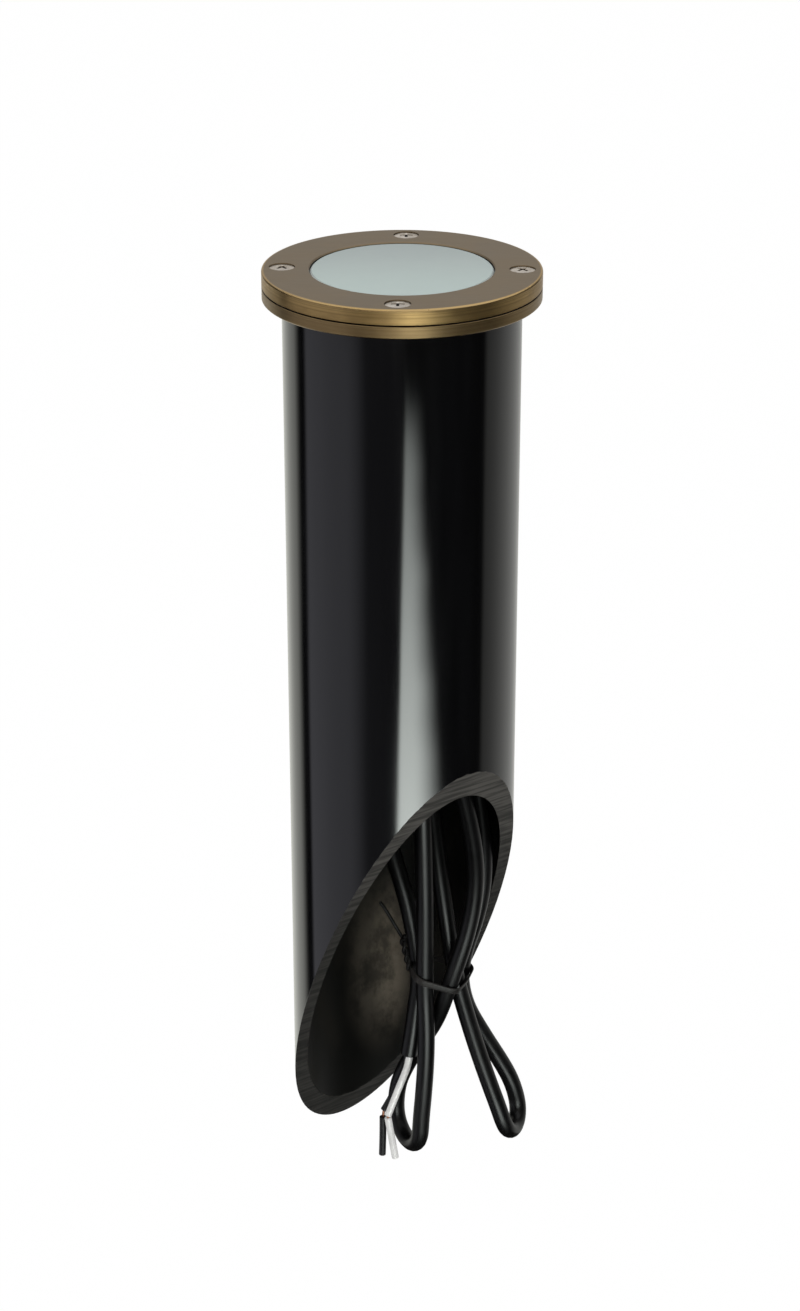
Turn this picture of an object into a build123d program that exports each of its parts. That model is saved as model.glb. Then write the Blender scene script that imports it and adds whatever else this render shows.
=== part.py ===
from build123d import *
import os
from math import cos, pi, radians, sin, tan

# In-ground well light: a round brass lamp head that drops into an angle-cut plastic sleeve.
# Millimetres, +Z up. The origin is on the sleeve's axis at grade, the underside of the head's flange.
# +X is to the right and -Y is the front. The lead hangs below the head, folded into a tied hank.

os.makedirs("parts", exist_ok=True)

# ---- sleeve: 3 inch pipe, its lower end sawn off at a steep angle ----
SLEEVE_R = 44.45            # outside radius
SLEEVE_WALL = 5.24
SLEEVE_TOP = 0.8            # the rim seats this far up in the flange's rebate
CUT_MID_Z = -278.66         # where the saw plane meets the axis
CUT_SLOPE = 2.241           # rise of the saw plane for each millimetre towards the short side
CUT_AZIMUTH = -54.4         # direction of the short side
SLEEVE_BORE_R = SLEEVE_R - SLEEVE_WALL
CUT_RISE = CUT_SLOPE * SLEEVE_R

# ---- lamp head: flange of the canister, and the cover ring screwed on it ----
HEAD_R = 51.75
FLANGE_TOP = 4.8            # the seam between flange and cover ring
COVER_TOP = 10.9
WINDOW_R = 34.1             # opening over the lens
SEAM_CHAMFER = 0.4
EDGE_FILLET = 0.8
REBATE_R = 45.2
SCREW_PITCH_R = 44.2
SCREW_ANGLES = (-2, 88, 178, 268)
SCREW_HEAD_R = 4.7
SCREW_R = 2.5
SCREW_TIP_Z = 0.9
SCREW_SINK = 0.45           # rim of the head below the cover's face
SCREW_CROWN = 0.4           # rise of the oval head
SCREW_FIT = 0.08
SCREW_EDGE_GAP = 0.15       # dark line round each screw head
RECESS_DEPTH = 2.3          # cross recess
RECESS_MOUTH = (5.0, 1.1)
RECESS_TOE = (2.0, 0.8)
RECESS_TURNS = (47, 2, 47, 2)

# ---- lens and its seals ----
POCKET_R = 39.8             # shared pocket in flange and cover
POCKET_FLOOR = 2.4
POCKET_CEILING = 9.4
LENS_R = 39.2
LENS_UNDER = 3.6
LENS_SHOULDER = 8.6
LENS_TOP = 10.5             # raised middle, nearly flush with the cover ring
LENS_MIDDLE_R = 33.7
LENS_CHAMFER = 0.5

# ---- canister cup ----
CUP_R = 37.4
CUP_BOTTOM = -92.0
CUP_FLOOR = -88.0
CUP_BORE_R = 33.0
SEAT_BORE_R = 35.0          # wider bore above the swivel ring's ledge
LEDGE_Z = -13.0
GROOVE_R = 36.1
GROOVE_Z = (-6.0, -4.6)

# ---- aiming gimbal and lamp (50 mm reflector lamp, two-pin base) ----
SWIVEL_R = 34.6
SWIVEL_BORE_R = 29.5
SWIVEL_TOP = -6.1
TILT_Z = -9.5               # height of the tilt axis
TILT_RING_R = 28.3
TILT_RING_H = 6.0
TILT_BORE_R = 25.8
TILT_LIP_R = 23.9
TILT_LIP_H = 1.4
PIVOT_R = 1.5
PIVOT_HEAD_R = 2.6
PIVOT_HEAD_H = 1.2
PIVOT_TIP_X = 26.7
PIVOT_SINK = 0.4            # head below the swivel ring's rim
LAMP_RIM_R = 25.3
LAMP_RIM_H = 3.0
GLASS_R = 23.6
GLASS_H = 1.5
LAMP_NECK_Z = -34.5
LAMP_BASE = (17.0, 9.6, 10.5)
PIN_R = 0.75
PIN_SPACING = 5.33
PIN_LENGTH = 7.0
SOCKET = (19.0, 12.0, 11.0)
WIRE_R = 1.1
WIRE_X = 3.5                # wires leave the socket this far off centre
WIRE_LENGTH = 13.0
EMITTER_R = 3.2
EMITTER_H = 11.0
SNAP_EYE_R = 1.8
SNAP_HOLE_R = 0.7
SNAP_EYE_IN = 0.3           # eye centres inside the ring's bore

# ---- cable gland in the cup's floor ----
GLAND_THREAD_R = 6.0
GLAND_HEX = 15.0            # across flats
GLAND_MOUTH_Z = -112.0
WASHER_H = 1.0

# ---- lead: two-core jacketed cable ----
CABLE_R = 3.5
CORE_R = 1.45
CORE_OFFSET = 1.55
CONDUCTOR_R = 0.85

# The hank hangs as five passes through the tie. Each pass has its place at the waist, inside
# the tie, and a foot above or below, where it turns into the next pass.
WAIST_Z = -284.0
TOP_FOOT_Z = -183.0
RIGHT_FOOT_Z = -344.6
LEFT_FOOT_Z = -351.5
WAISTS = {"lead": (21.6, -8.0), "behind": (26.0, -1.0), "front": (19.0, -16.4),
          "straight": (9.0, -16.6), "tail": (7.4, -8.6)}
TOP_FEET = {"lead": (9.0, 4.5), "behind": (25.0, 7.0), "front": (19.0, -18.5),
            "straight": (7.5, -18.5), "tail": (-13.0, 0.5)}
LOW_FEET = {"lead": (40.0, -21.8), "behind": (47.0, -4.8), "front": (-1.2, 0.6),
            "straight": (6.6, -18.8)}
TOP_BOWS = {"lead": (-1.2, 0), "behind": (8.2, 0), "front": (10.8, 0), "straight": (0.6, 0),
            "tail": (0, 0)}
LOW_BOWS = {"lead": (-1.0, 0), "behind": (0, 0), "front": (-0.8, 1.8), "straight": (0.4, -0.6)}
PASS_STEPS = (0.28, 0.52, 0.76)
EASED = {"lead": False, "behind": True, "front": True, "straight": True, "tail": True}
BIGHT_CORNERS = 4           # corners that a half turn is spread over

LEAD_ROUTE = [(0, 0, GLAND_MOUTH_Z), (0, 0, -125), (1.6, 1.2, -137), (4.6, 3.4, -150)]
LEAD_SPLIT = 0.5            # the lead becomes the hank half way along the run after its last point
TAIL_ROUTE = [(4.6, -10.0, -297.5), (2.4, -12.6, -308), (1.2, -14.3, -317.5)]

# ---- tie, stripped ends ----
TIE_CENTRE = (17.0, -9.0, -278.9)
TIE_TILT_X = 3.0            # front edge down
TIE_TILT_Y = 15.0           # right side down
TIE_WIDTH = 2.8
TIE_THICK = 0.9
TIE_CLEAR = 0.3
TWIST_ROOT = (3.4, -14.0, -275.6)
TWIST_TIP = (0.0, -13.6, -263.7)
TWIST_TURN = 540
TWIST_SIZE = (2.0, 1.5)
TIE_ENDS = ((-10.6, -12.0, -245.5), (0.6, -16.2, -259.8))
TIE_END_SIZE = (1.4, 0.8)
CORE_LEAVE = 4.5            # the cores run straight this far out of the jacket
WHITE_ROUTE = [(0.1, -17.8, -326.8), (-3.1, -19.6, -333.2), (-7.3, -21.0, -342.8)]
BLACK_ROUTE = [(-2.4, -15.0, -327.0), (-4.9, -15.9, -333.4), (-8.3, -16.2, -342.8)]
WHITE_SLUG = ((-7.2, -21.1, -344.0), (-4.3, -21.1, -363.2))
BLACK_SLUG = ((-9.2, -16.2, -346.4), (-9.5, -16.2, -364.9))
BARE_LENGTHS = {"white": 0.75, "black": 3.0}


def ring(outer, inner, low, high):
    """Flat ring between two heights."""
    return Pos(0, 0, low) * extrude(Circle(outer) - Circle(inner), high - low)


def disc(radius, low, high):
    """Flat disc between two heights."""
    return Pos(0, 0, low) * extrude(Circle(radius), high - low)


def rod(start, end, radius):
    """Round bar from one point to another."""
    axis = Vector(*end) - Vector(*start)
    return extrude(Plane(origin=start, z_dir=axis) * Circle(radius), axis.length)


def turned(outline):
    """Solid of revolution about Z from (radius, height) points."""
    section = make_face(Plane.XZ * Polyline(*outline, close=True))
    return revolve(section, Axis.Z)


def hexagon(across, low, high):
    """Hexagonal prism."""
    return Pos(0, 0, low) * extrude(RegularPolygon(across / 2, 6, major_radius=False), high - low)


def around(shape, angles, radius):
    """Copies of a shape on a pitch circle, each turned to face outwards."""
    return [Rot(0, 0, angle) * Pos(radius, 0, 0) * shape for angle in angles]


# ---------------------------------------------------------------- sleeve
def make_sleeve():
    low = CUT_MID_Z - CUT_RISE - 5
    pipe = ring(SLEEVE_R, SLEEVE_BORE_R, low, SLEEVE_TOP)
    lean = radians(CUT_AZIMUTH)
    normal = (-CUT_SLOPE * cos(lean), -CUT_SLOPE * sin(lean), 1)
    saw = Plane(origin=(0, 0, CUT_MID_Z), z_dir=normal)
    return split(pipe, bisect_by=saw, keep=Keep.TOP)


# ---------------------------------------------------------------- head
def make_canister():
    outline = [
        (0, CUP_BOTTOM), (CUP_R - 1.5, CUP_BOTTOM), (CUP_R, CUP_BOTTOM + 1.5),
        (CUP_R, SLEEVE_TOP), (REBATE_R, SLEEVE_TOP), (REBATE_R, 0),
        (HEAD_R - SEAM_CHAMFER, 0), (HEAD_R, SEAM_CHAMFER),
        (HEAD_R, FLANGE_TOP - SEAM_CHAMFER), (HEAD_R - SEAM_CHAMFER, FLANGE_TOP),
        (POCKET_R, FLANGE_TOP), (POCKET_R, POCKET_FLOOR), (SEAT_BORE_R, POCKET_FLOOR),
        (SEAT_BORE_R, GROOVE_Z[1]), (GROOVE_R, GROOVE_Z[1]), (GROOVE_R, GROOVE_Z[0]),
        (SEAT_BORE_R, GROOVE_Z[0]), (SEAT_BORE_R, LEDGE_Z), (CUP_BORE_R, LEDGE_Z),
        (CUP_BORE_R, CUP_FLOOR + 2), (CUP_BORE_R - 2, CUP_FLOOR), (0, CUP_FLOOR),
    ]
    body = turned(outline)
    body -= Pos(0, 0, CUP_BOTTOM) * Cylinder(GLAND_THREAD_R + 0.1, 20)
    tapped = Pos(0, 0, FLANGE_TOP / 2) * Cylinder(SCREW_R + SCREW_FIT, FLANGE_TOP + 1)
    for hole in around(tapped, SCREW_ANGLES, SCREW_PITCH_R):
        body -= hole
    return body


def countersink(radius, top, clearance):
    """Cone and shank that a countersunk screw fills, grown by a clearance."""
    head_depth = radius - SCREW_R
    cone_z = top - head_depth / 2
    cone = Pos(0, 0, cone_z) * Cone(SCREW_R + clearance, radius + clearance, head_depth)
    shank_height = top - SCREW_TIP_Z
    shank = Pos(0, 0, SCREW_TIP_Z + shank_height / 2) * Cylinder(SCREW_R + clearance, shank_height)
    return cone + shank


def make_cover_ring():
    outline = [
        (WINDOW_R, POCKET_CEILING), (WINDOW_R, COVER_TOP - 0.4), (WINDOW_R + 0.4, COVER_TOP),
        (HEAD_R, COVER_TOP), (HEAD_R, FLANGE_TOP + SEAM_CHAMFER),
        (HEAD_R - SEAM_CHAMFER, FLANGE_TOP), (POCKET_R, FLANGE_TOP), (POCKET_R, POCKET_CEILING),
    ]
    body = turned(outline)
    rim = body.edges().filter_by(GeomType.CIRCLE).filter_by_position(Axis.Z, COVER_TOP, COVER_TOP)
    body = fillet(rim.sort_by(SortBy.RADIUS)[-1], EDGE_FILLET)
    seat = COVER_TOP - SCREW_SINK
    mouth_r = SCREW_HEAD_R + SCREW_EDGE_GAP
    sink = countersink(mouth_r, seat, SCREW_FIT) + disc(mouth_r, seat, COVER_TOP + 1)
    for hole in around(sink, SCREW_ANGLES, SCREW_PITCH_R):
        body -= hole
    return body


def make_cover_screws():
    top = COVER_TOP - SCREW_SINK
    ball_r = (SCREW_HEAD_R ** 2 + SCREW_CROWN ** 2) / (2 * SCREW_CROWN)
    ball = Pos(0, 0, top + SCREW_CROWN - ball_r) * Sphere(ball_r)
    screw = countersink(SCREW_HEAD_R, top, 0) + (ball & disc(SCREW_HEAD_R, top, top + SCREW_CROWN))
    mouth = Pos(0, 0, top + SCREW_CROWN) * Rectangle(*RECESS_MOUTH)
    toe = Pos(0, 0, top - RECESS_DEPTH) * Rectangle(*RECESS_TOE)
    wing = loft([mouth, toe])
    screw -= wing + Rot(0, 0, 90) * wing
    screws = []
    for angle, turn in zip(SCREW_ANGLES, RECESS_TURNS):
        screws += around(Rot(0, 0, turn) * screw, [angle], SCREW_PITCH_R)
    return screws


def make_lens():
    """Pressed glass: a clamped rim and a raised middle that fills the opening."""
    rim = disc(LENS_R, LENS_UNDER, LENS_SHOULDER)
    middle = disc(LENS_MIDDLE_R, LENS_SHOULDER, LENS_TOP)
    rim = chamfer(rim.edges(), LENS_CHAMFER)
    middle = chamfer(middle.edges().sort_by(Axis.Z)[-1], LENS_CHAMFER)
    return rim + middle


# ---------------------------------------------------------------- gimbal and lamp
def make_swivel_ring():
    body = chamfer(ring(SWIVEL_R, SWIVEL_BORE_R, LEDGE_Z, SWIVEL_TOP).edges(), 0.4)
    for side in (-1, 1):
        bore = rod((side * PIVOT_TIP_X, 0, TILT_Z), (side * SWIVEL_R, 0, TILT_Z), PIVOT_R + 0.05)
        seat_x = SWIVEL_R - PIVOT_HEAD_H - PIVOT_SINK
        seat = rod((side * seat_x, 0, TILT_Z), (side * (SWIVEL_R + 1), 0, TILT_Z), PIVOT_HEAD_R + 0.1)
        body -= bore + seat
    return body


def make_pivot_screws():
    screws = []
    for side in (-1, 1):
        neck_x = SWIVEL_R - PIVOT_HEAD_H - PIVOT_SINK
        head_x = neck_x + PIVOT_HEAD_H
        pin = rod((side * PIVOT_TIP_X, 0, TILT_Z), (side * neck_x, 0, TILT_Z), PIVOT_R)
        head = rod((side * neck_x, 0, TILT_Z), (side * head_x, 0, TILT_Z), PIVOT_HEAD_R)
        slot = Pos(side * head_x, 0, TILT_Z) * Box(1.2, 0.8, 2 * PIVOT_HEAD_R)
        screws.append(pin + head - slot)
    return screws


def snap_ring(outer, inner, low, high, gap_angle):
    """Flat ring with a gap, and an eye at each end of the gap."""
    gap = Rot(0, 0, 90) * Pos(outer, 0, (low + high) / 2) * Box(outer, outer * radians(gap_angle), 4)
    body = ring(outer, inner, low, high) - gap
    pitch = inner - SNAP_EYE_IN
    for side in (-1, 1):
        angle = radians(90 + side * (gap_angle / 2 + 4.5))
        place = Pos(pitch * cos(angle), pitch * sin(angle), low)
        body += place * extrude(Circle(SNAP_EYE_R), high - low)
        body -= place * extrude(Circle(SNAP_HOLE_R), high - low)
    return body


def make_tilt_ring():
    low = TILT_Z - TILT_RING_H / 2
    body = ring(TILT_RING_R, TILT_BORE_R, low, low + TILT_RING_H)
    body += ring(TILT_BORE_R + 0.5, TILT_LIP_R, low, low + TILT_LIP_H)
    for side in (-1, 1):
        inner_x = PIVOT_TIP_X - 0.2
        body -= rod((side * inner_x, 0, TILT_Z), (side * (TILT_RING_R + 1), 0, TILT_Z), PIVOT_R + 0.1)
    return body


def lamp_levels():
    """Underside and top of the lamp's rim."""
    under = TILT_Z - TILT_RING_H / 2 + TILT_LIP_H
    return under, under + LAMP_RIM_H


def make_lamp_reflector():
    under, top = lamp_levels()
    bowl = Spline((23.3, under), (19.8, under - 9.5), (12.5, under - 18.5), (8.2, LAMP_NECK_Z))
    hollow = Spline((5.2, LAMP_NECK_Z + 2), (11.0, under - 17.4), (18.3, under - 9), (22.0, top - GLASS_H))
    outline = [
        bowl, Line((8.2, LAMP_NECK_Z), (0, LAMP_NECK_Z)), Line((0, LAMP_NECK_Z), (0, LAMP_NECK_Z + 2)),
        Line((0, LAMP_NECK_Z + 2), (5.2, LAMP_NECK_Z + 2)), hollow,
        Line((22.0, top - GLASS_H), (GLASS_R + 0.1, top - GLASS_H)),
        Line((GLASS_R + 0.1, top - GLASS_H), (GLASS_R + 0.1, top)),
        Line((GLASS_R + 0.1, top), (LAMP_RIM_R, top)), Line((LAMP_RIM_R, top), (LAMP_RIM_R, under)),
        Line((LAMP_RIM_R, under), (23.3, under)),
    ]
    section = make_face([Plane.XZ * edge for edge in outline])
    return revolve(section, Axis.Z)


def make_lamp_glass():
    top = lamp_levels()[1]
    return disc(GLASS_R, top - GLASS_H, top)


def make_lamp_emitter():
    """Light source standing on the reflector's floor."""
    floor = LAMP_NECK_Z + 2
    stem = Pos(0, 0, floor + EMITTER_H / 2) * Cylinder(EMITTER_R, EMITTER_H)
    return fillet(stem.edges().sort_by(Axis.Z)[-1], 2.8)


def make_lamp_base():
    length, width, height = LAMP_BASE
    block = Pos(0, 0, LAMP_NECK_Z - height / 2) * Box(length, width, height)
    return fillet(block.edges().filter_by(Axis.Z), 3)


def pin_places():
    return [side * PIN_SPACING / 2 for side in (-1, 1)]


def base_bottom():
    return LAMP_NECK_Z - LAMP_BASE[2]


def make_lamp_pins():
    low = base_bottom()
    return [rod((x, 0, low), (x, 0, low - PIN_LENGTH), PIN_R) for x in pin_places()]


def make_lamp_socket():
    length, width, height = SOCKET
    top = base_bottom()
    block = Pos(0, 0, top - height / 2) * Box(length, width, height)
    block = chamfer(block.edges().filter_by(Axis.Z), 2)
    for x in pin_places():
        block -= rod((x, 0, top), (x, 0, top - PIN_LENGTH - 0.5), PIN_R + 0.1)
    return block


def make_socket_leads():
    low = base_bottom() - SOCKET[2]
    return [rod((x, 0, low), (x, 0, low - WIRE_LENGTH), WIRE_R) for x in (-WIRE_X, WIRE_X)]


# ---------------------------------------------------------------- gland
def make_gland_body():
    shoulder = CUP_BOTTOM - WASHER_H
    body = hexagon(GLAND_HEX, shoulder - 5, shoulder)
    body += disc(GLAND_THREAD_R, shoulder, CUP_FLOOR + 6)
    body += disc(5.5, shoulder - 12, shoulder - 5)
    body -= disc(CABLE_R + 0.15, shoulder - 20, CUP_FLOOR + 10)
    body -= disc(4.75, shoulder - 20, shoulder - 6)
    return body


def make_gland_nut():
    top = CUP_BOTTOM - WASHER_H - 5.3
    dome = turned([(0, top), (8.6, top), (8.6, top - 7), (7.2, top - 10.5), (5.2, GLAND_MOUTH_Z),
                   (0, GLAND_MOUTH_Z)])
    body = dome & hexagon(GLAND_HEX + 1, GLAND_MOUTH_Z, top)
    body -= disc(5.6, top - 8, top)
    body -= disc(4.8, GLAND_MOUTH_Z + 3.4, top)
    body -= disc(CABLE_R + 0.3, GLAND_MOUTH_Z, top)
    return body


def make_gland_locknut():
    nut = hexagon(GLAND_HEX, CUP_FLOOR, CUP_FLOOR + 4)
    return nut - disc(GLAND_THREAD_R + 0.05, CUP_FLOOR, CUP_FLOOR + 4)


# ---------------------------------------------------------------- lead and hank
def mix(a, b, share):
    return a + (b - a) * share


def smooth(share):
    """Starts and ends level."""
    return share * share * (3 - 2 * share)


def along_pass(name, foot, foot_z, share, bow):
    """Point of a pass, a share of the way from the waist to its foot."""
    eased = smooth(share) if EASED[name] else share
    waist = WAISTS[name]
    swell = sin(pi * share)
    x = mix(waist[0], foot[0], eased) + bow[0] * swell
    y = mix(waist[1], foot[1], eased) + bow[1] * swell
    return (x, y, mix(WAIST_Z, foot_z, share))


def bight(start, end, foot_z, way):
    """Corners of the half turn that joins two feet: way is 1 for a turn at the top, -1 below."""
    middle = Vector((start[0] + end[0]) / 2, (start[1] + end[1]) / 2, foot_z)
    half = Vector(start[0] - middle.X, start[1] - middle.Y, 0)
    step = pi / BIGHT_CORNERS
    grow = 1 / cos(step / 2)
    corners = []
    for number in range(BIGHT_CORNERS):
        angle = step * (number + 0.5)
        corner = middle + half * (grow * cos(angle))
        rise = way * half.length * grow * sin(angle)
        corners.append((corner.X, corner.Y, corner.Z + rise))
    return corners


def half_pass(name, top, outwards):
    """Points of a pass between waist and foot, given outwards or back towards the waist."""
    if top:
        foot, foot_z, bow = TOP_FEET[name], TOP_FOOT_Z, TOP_BOWS[name]
    else:
        foot, bow = LOW_FEET[name], LOW_BOWS[name]
        foot_z = RIGHT_FOOT_Z if name in ("lead", "behind") else LEFT_FOOT_Z
    steps = PASS_STEPS if outwards else PASS_STEPS[::-1]
    return [along_pass(name, foot, foot_z, share, bow) for share in steps]


def waist_point(name):
    return (*WAISTS[name], WAIST_Z)


def hank_route():
    """The whole lead from the gland to the end of its jacket."""
    route = list(LEAD_ROUTE)
    route += half_pass("lead", True, False) + [waist_point("lead")]
    route += half_pass("lead", False, True)
    route += bight(LOW_FEET["lead"], LOW_FEET["behind"], RIGHT_FOOT_Z, -1)
    route += half_pass("behind", False, False) + [waist_point("behind")]
    route += half_pass("behind", True, True)
    route += bight(TOP_FEET["behind"], TOP_FEET["front"], TOP_FOOT_Z, 1)
    route += half_pass("front", True, False) + [waist_point("front")]
    route += half_pass("front", False, True)
    route += bight(LOW_FEET["front"], LOW_FEET["straight"], LEFT_FOOT_Z, -1)
    route += half_pass("straight", False, False) + [waist_point("straight")]
    route += half_pass("straight", True, True)
    route += bight(TOP_FEET["straight"], TOP_FEET["tail"], TOP_FOOT_Z, 1)
    route += half_pass("tail", True, False) + [waist_point("tail")]
    return route + TAIL_ROUTE


def corner_radii(route):
    """Largest arc that each corner's two runs allow."""
    radii = []
    for before, corner, after in zip(route, route[1:], route[2:]):
        first = Vector(*corner) - Vector(*before)
        second = Vector(*after) - Vector(*corner)
        half_turn = radians(first.get_angle(second)) / 2
        radii.append(0.45 * min(first.length, second.length) / tan(half_turn))
    return radii


def tube(route, radius, name):
    """Round tube along straight runs joined by tangent arcs."""
    radii = corner_radii(route)
    path = FilletPolyline(*route, radius=radii) if radii else Line(*route)
    path = Wire(path.edges())
    start = Plane(origin=path @ 0, z_dir=path % 0)
    solid = sweep(start * Circle(radius), path=path)
    ideal = pi * radius * radius * path.length
    print(f"{name}: {path.length:.0f} mm long, volume {solid.volume / ideal:.4f} of section x length")
    print("  radii", " ".join(f"{value:.0f}" for value in radii))
    return solid, path


def least_gap(path, radius):
    """Least clear distance between stretches of one tube that are not neighbours along it."""
    step = 2.0
    count = int(path.length / step)
    points = [path @ (number / count) for number in range(count + 1)]
    apart = int(4 * pi * radius / step)
    least = path.length
    for number, point in enumerate(points):
        for other in points[number + apart:]:
            least = min(least, (point - other).length)
    return least - 2 * radius


def split_route(route):
    """The lead's and the hank's own points, cut half way along one long straight run."""
    last = len(LEAD_ROUTE) - 1
    cut = Vector(*route[last]) + (Vector(*route[last + 1]) - Vector(*route[last])) * LEAD_SPLIT
    middle = (cut.X, cut.Y, cut.Z)
    return route[:last + 1] + [middle], [middle] + route[last + 1:]


def make_tie(path):
    """Flat wire tie drawn round the passes: its band, the twist and the two free ends."""
    place = Pos(*TIE_CENTRE) * Rot(TIE_TILT_X, TIE_TILT_Y, 0)
    normal = Vector(0, 0, 1).rotate(Axis.Y, TIE_TILT_Y).rotate(Axis.X, TIE_TILT_X)
    inner, outer = [], []
    for number in range(int(path.length)):
        share = number / path.length
        local = (place.inverse() * Pos(*(path @ share))).position
        if abs(local.Z) > TIE_WIDTH / 2:
            continue
        lean = abs((path % share).dot(normal))
        reach = CABLE_R / lean + TIE_CLEAR
        inner.append((Pos(local.X, local.Y) * Circle(reach)).edge())
        outer.append((Pos(local.X, local.Y) * Circle(reach + TIE_THICK)).edge())
    band = extrude(make_hull(outer) - make_hull(inner), TIE_WIDTH / 2, both=True)
    body = place * band
    root, tip = Vector(*TWIST_ROOT), Vector(*TWIST_TIP)
    section = Plane(origin=root, z_dir=tip - root) * Rectangle(*TWIST_SIZE)
    body += Solid.extrude_linear_with_rotation(section.face(), root, tip - root, TWIST_TURN)
    for end in TIE_ENDS:
        strip = Plane(origin=tip, x_dir=(1, 0, 0.6), z_dir=Vector(*end) - tip)
        body += extrude(strip * Rectangle(*TIE_END_SIZE), (Vector(*end) - tip).length)
    return body


def main_nodes():
    """Every rigid node but the lead's."""
    shoulder = CUP_BOTTOM - WASHER_H
    tilt_top = lamp_levels()[1]
    return {
        "sleeve": make_sleeve(),
        "canister": make_canister(),
        "cover_ring": make_cover_ring(),
        "cover_screws": make_cover_screws(),
        "lens": make_lens(),
        "lens_gasket_lower": ring(LENS_R + 0.2, SEAT_BORE_R + 0.4, POCKET_FLOOR, LENS_UNDER),
        "lens_gasket_upper": ring(LENS_R, WINDOW_R + 0.5, LENS_SHOULDER, POCKET_CEILING),
        "swivel_ring": make_swivel_ring(),
        "swivel_snap_ring": snap_ring(GROOVE_R - 0.3, 32.4, GROOVE_Z[0] + 0.1, GROOVE_Z[1] - 0.1, 12),
        "pivot_screws": make_pivot_screws(),
        "tilt_ring": make_tilt_ring(),
        "lamp_snap_ring": snap_ring(TILT_BORE_R - 0.1, 23.8, tilt_top, tilt_top + 1.0, 16),
        "lamp_reflector": make_lamp_reflector(),
        "lamp_front_glass": make_lamp_glass(),
        "lamp_emitter": make_lamp_emitter(),
        "lamp_base": make_lamp_base(),
        "lamp_pins": make_lamp_pins(),
        "lamp_socket": make_lamp_socket(),
        "socket_leads": make_socket_leads(),
        "gland_body": make_gland_body(),
        "gland_washer": ring(8.4, GLAND_THREAD_R + 0.1, shoulder, CUP_BOTTOM),
        "gland_seal": ring(4.65, CABLE_R + 0.1, shoulder - 15, shoulder - 6.2),
        "gland_nut": make_gland_nut(),
        "gland_locknut": make_gland_locknut(),
        "inner_jacket": rod((0, 0, GLAND_MOUTH_Z), (0, 0, CUP_FLOOR + 4.5), CABLE_R),
        "inner_cores": [rod((side * CORE_OFFSET, 0, CUP_FLOOR + 4.5), (side * CORE_OFFSET, 0, -76), CORE_R)
                        for side in (-1, 1)],
    }


def cable_nodes():
    route = hank_route()
    lead_route, coil_route = split_route(route)
    lead, lead_path = tube(lead_route, CABLE_R, "cord_lead")
    hank, hank_path = tube(coil_route, CABLE_R, "cord_hank")
    print(f"cable length {lead_path.length + hank_path.length:.0f} mm")
    print(f"least gap of the hank to itself {least_gap(hank_path, CABLE_R):.2f} mm")
    heading = hank_path % 1
    end = hank_path @ 1
    side = heading.cross(Vector(0.6, 0.8, 0)).normalized() * CORE_OFFSET
    nodes = {"cord_lead": lead, "cord_hank": hank}
    strands = []
    for name, place, onward in (("white", side, WHITE_ROUTE), ("black", side * -1, BLACK_ROUTE)):
        start = end + place
        leave = start + heading * CORE_LEAVE
        points = [tuple(start), tuple(leave)] + onward
        nodes[f"core_{name}"], core_path = tube(points, CORE_R, f"core_{name}")
        bare_end = core_path @ 1 + (core_path % 1) * BARE_LENGTHS[name]
        strands.append(rod(tuple(core_path @ 1), tuple(bare_end), CONDUCTOR_R))
    nodes["slug_white"] = rod(*WHITE_SLUG, CORE_R)
    nodes["slug_black"] = rod(*BLACK_SLUG, CORE_R)
    nodes["bare_strands"] = strands
    nodes["wire_tie"] = make_tie(hank_path)
    return nodes


if __name__ == "__main__":
    for node, shape in {**main_nodes(), **cable_nodes()}.items():
        solid = Compound(children=list(shape)) if isinstance(shape, list) else shape
        solid.label = node
        export_step(solid, f"parts/{node}.step")
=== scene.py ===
import bpy
import bmesh
from math import copysign, cos, pi, radians, sin
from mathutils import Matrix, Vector, geometry


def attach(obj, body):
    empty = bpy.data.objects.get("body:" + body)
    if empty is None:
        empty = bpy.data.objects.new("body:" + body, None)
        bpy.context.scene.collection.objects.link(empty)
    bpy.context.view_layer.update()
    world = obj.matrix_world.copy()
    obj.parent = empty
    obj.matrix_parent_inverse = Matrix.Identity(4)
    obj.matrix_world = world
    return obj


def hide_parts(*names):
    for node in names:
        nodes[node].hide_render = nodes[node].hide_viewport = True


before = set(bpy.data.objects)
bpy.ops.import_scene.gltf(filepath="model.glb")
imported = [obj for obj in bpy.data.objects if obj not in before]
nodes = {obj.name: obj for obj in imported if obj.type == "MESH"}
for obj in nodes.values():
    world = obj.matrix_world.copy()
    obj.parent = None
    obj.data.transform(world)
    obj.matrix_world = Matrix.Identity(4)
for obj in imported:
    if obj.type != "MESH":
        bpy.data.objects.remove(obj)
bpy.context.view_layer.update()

MM = 0.001


def mix(a, b, share):
    return a + (b - a) * share


def put(name, data):
    """A new object in the scene."""
    made = bpy.data.objects.new(name, data)
    bpy.context.collection.objects.link(made)
    return made


# ---------------------------------------------------------------- camera
CAMERA_PLACE = (0.0, -1.0115, 0.30924)
CAMERA_PITCH = 0.4221
CAMERA_SENSOR = 36
CAMERA_LENS = 78.2
CAMERA_SHIFT_X = -0.0016
CAMERA_NEAR = 0.05
camera_data = bpy.data.cameras.new("camera")
camera_data.sensor_width = CAMERA_SENSOR
camera_data.lens = CAMERA_LENS
camera_data.shift_x = CAMERA_SHIFT_X
camera_data.clip_start = CAMERA_NEAR
camera = put("camera", camera_data)
camera.location = CAMERA_PLACE
camera.rotation_euler = (pi / 2 - CAMERA_PITCH, 0, 0)
bpy.context.scene.camera = camera

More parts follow.
